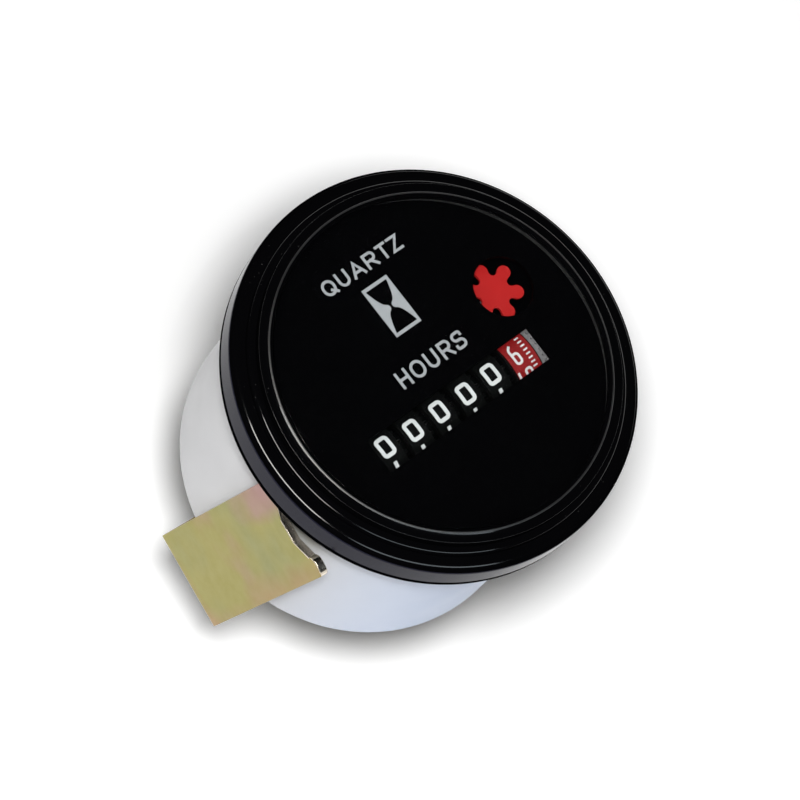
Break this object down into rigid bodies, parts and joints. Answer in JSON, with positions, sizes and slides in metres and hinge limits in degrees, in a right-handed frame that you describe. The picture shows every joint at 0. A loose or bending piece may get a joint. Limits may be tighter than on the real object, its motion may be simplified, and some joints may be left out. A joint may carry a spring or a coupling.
{
  "type": "panel hour meter",
  "caption": "Round panel hour meter with a stepped bezel, clear lens, number-wheel counter, turning run indicator, moulded case and a U-shaped clamp bracket.",
  "frame": {"origin": "on the meter's axis, on the bezel's rear face that seats on the panel", "axes": "+Z out of the dial along the axis, +X to the dial's right, +Y to the dial's top"},
  "size_m": [0.0586, 0.0586, 0.0629],
  "materials": {
    "bezel_black": "satin black",
    "lens_clear": "clear, polished",
    "gasket_black": "matt",
    "dial_black": "matt black with white print",
    "housing_white": "moulded, slight sheen",
    "bracket_zinc": "yellow passivated zinc",
    "stud_zinc": "bright zinc",
    "blade_tin": "tinned",
    "plate_moulded": "black moulding",
    "brass_turned": "turned",
    "frame_black": "matt",
    "shaft_steel": "ground",
    "wheel_black": "moulded black",
    "wheel_red": "moulded red",
    "gear_grey": "moulded grey",
    "gear_white": "natural moulding",
    "star_red": "moulded red",
    "arbor_grey": "moulded",
    "rotor_dark": "bonded magnet",
    "stator_steel": "stamped",
    "coil_copper": "enamelled wire",
    "board_green": "solder mask",
    "can_metal": "drawn can",
    "chip_black": "moulded"
  },
  "bodies": {
    "case": {"bezel": "bezel_black", "lens": "lens_clear", "lens_gasket": "gasket_black", "dial_plate": "dial_black", "housing": "housing_white", "mounting_studs": "stud_zinc", "terminal_blades": "blade_tin", "movement_plate": "plate_moulded", "plate_pillars": "brass_turned", "rear_plate": "plate_moulded", "counter_frame": "frame_black", "wheel_shaft": "shaft_steel", "pinion_shaft": "shaft_steel", "motor_stator": "stator_steel", "motor_coil": "coil_copper", "circuit_board": "board_green", "quartz_crystal": "can_metal", "driver_chip": "chip_black"},
    "clamp": {"mounting_bracket": "bracket_zinc", "lock_washers": "stud_zinc", "stud_nuts": "stud_zinc"},
    "tenths": {"tenths_wheel": "wheel_red", "drive_gear": "gear_grey"},
    "indicator": {"indicator_star": "star_red", "indicator_arbor": "arbor_grey"},
    "worm": {"worm_arbor": "arbor_grey", "drive_worm": "gear_white"},
    "intermediate": {"intermediate_gear": "gear_white"},
    "rotor": {"motor_rotor": "rotor_dark"},
    "wheel_5": {"wheel_5": "wheel_black"},
    "pinion_5": {"pinion_5": "gear_white"},
    "wheel_4": {"wheel_4": "wheel_black"},
    "pinion_4": {"pinion_4": "gear_white"},
    "wheel_3": {"wheel_3": "wheel_black"},
    "pinion_3": {"pinion_3": "gear_white"},
    "wheel_2": {"wheel_2": "wheel_black"},
    "pinion_2": {"pinion_2": "gear_white"},
    "wheel_1": {"wheel_1": "wheel_black"},
    "pinion_1": {"pinion_1": "gear_white"}
  },
  "joints": [
    {"name": "tenths_spin", "type": "hinge", "parent": "case", "child": "tenths", "pos_m": [0, -0.005, -0.0019], "axis": [-1, 0, 0], "continuous": true},
    {"name": "wheel_5_spin", "type": "hinge", "parent": "case", "child": "wheel_5", "pos_m": [0, -0.005, -0.0019], "axis": [-1, 0, 0], "continuous": true},
    {"name": "pinion_5_spin", "type": "hinge", "parent": "case", "child": "pinion_5", "pos_m": [0, -0.005, -0.0089], "axis": [-1, 0, 0], "continuous": true},
    {"name": "wheel_4_spin", "type": "hinge", "parent": "case", "child": "wheel_4", "pos_m": [0, -0.005, -0.0019], "axis": [-1, 0, 0], "continuous": true},
    {"name": "pinion_4_spin", "type": "hinge", "parent": "case", "child": "pinion_4", "pos_m": [0, -0.005, -0.0089], "axis": [-1, 0, 0], "continuous": true},
    {"name": "wheel_3_spin", "type": "hinge", "parent": "case", "child": "wheel_3", "pos_m": [0, -0.005, -0.0019], "axis": [-1, 0, 0], "continuous": true},
    {"name": "pinion_3_spin", "type": "hinge", "parent": "case", "child": "pinion_3", "pos_m": [0, -0.005, -0.0089], "axis": [-1, 0, 0], "continuous": true},
    {"name": "wheel_2_spin", "type": "hinge", "parent": "case", "child": "wheel_2", "pos_m": [0, -0.005, -0.0019], "axis": [-1, 0, 0], "continuous": true},
    {"name": "pinion_2_spin", "type": "hinge", "parent": "case", "child": "pinion_2", "pos_m": [0, -0.005, -0.0089], "axis": [-1, 0, 0], "continuous": true},
    {"name": "wheel_1_spin", "type": "hinge", "parent": "case", "child": "wheel_1", "pos_m": [0, -0.005, -0.0019], "axis": [-1, 0, 0], "continuous": true},
    {"name": "pinion_1_spin", "type": "hinge", "parent": "case", "child": "pinion_1", "pos_m": [0, -0.005, -0.0089], "axis": [-1, 0, 0], "continuous": true},
    {"name": "worm_spin", "type": "hinge", "parent": "case", "child": "worm", "pos_m": [0.0156, -0.01215, 0], "axis": [0, 0, -1], "continuous": true},
    {"name": "intermediate_spin", "type": "hinge", "parent": "case", "child": "intermediate", "pos_m": [0.00667, -0.00414, 0], "axis": [0, 0, -1], "continuous": true},
    {"name": "indicator_spin", "type": "hinge", "parent": "case", "child": "indicator", "pos_m": [0.0153, 0.0042, 0], "axis": [0, 0, -1], "continuous": true},
    {"name": "rotor_spin", "type": "hinge", "parent": "case", "child": "rotor", "pos_m": [-0.00243, 0.00111, 0], "axis": [0, 0, -1], "continuous": true},
    {"name": "bracket_slide", "type": "slide", "parent": "case", "child": "clamp", "axis": [0, 0, 1], "range_m": [-0.0028, 0]}
  ],
  "couplings": [
    {"joint": "wheel_5_spin", "follows": "tenths_spin", "ratio": 0.1},
    {"joint": "pinion_5_spin", "follows": "tenths_spin", "ratio": -0.25},
    {"joint": "wheel_4_spin", "follows": "tenths_spin", "ratio": 0.01},
    {"joint": "pinion_4_spin", "follows": "tenths_spin", "ratio": -0.025},
    {"joint": "wheel_3_spin", "follows": "tenths_spin", "ratio": 0.001},
    {"joint": "pinion_3_spin", "follows": "tenths_spin", "ratio": -0.0025},
    {"joint": "wheel_2_spin", "follows": "tenths_spin", "ratio": 0.0001},
    {"joint": "pinion_2_spin", "follows": "tenths_spin", "ratio": -0.00025},
    {"joint": "wheel_1_spin", "follows": "tenths_spin", "ratio": 0.00001},
    {"joint": "pinion_1_spin", "follows": "tenths_spin", "ratio": -0.000025},
    {"joint": "worm_spin", "follows": "tenths_spin", "ratio": 40},
    {"joint": "intermediate_spin", "follows": "tenths_spin", "ratio": -13.333},
    {"joint": "indicator_spin", "follows": "tenths_spin", "ratio": 40},
    {"joint": "rotor_spin", "follows": "tenths_spin", "ratio": 80}
  ]
}
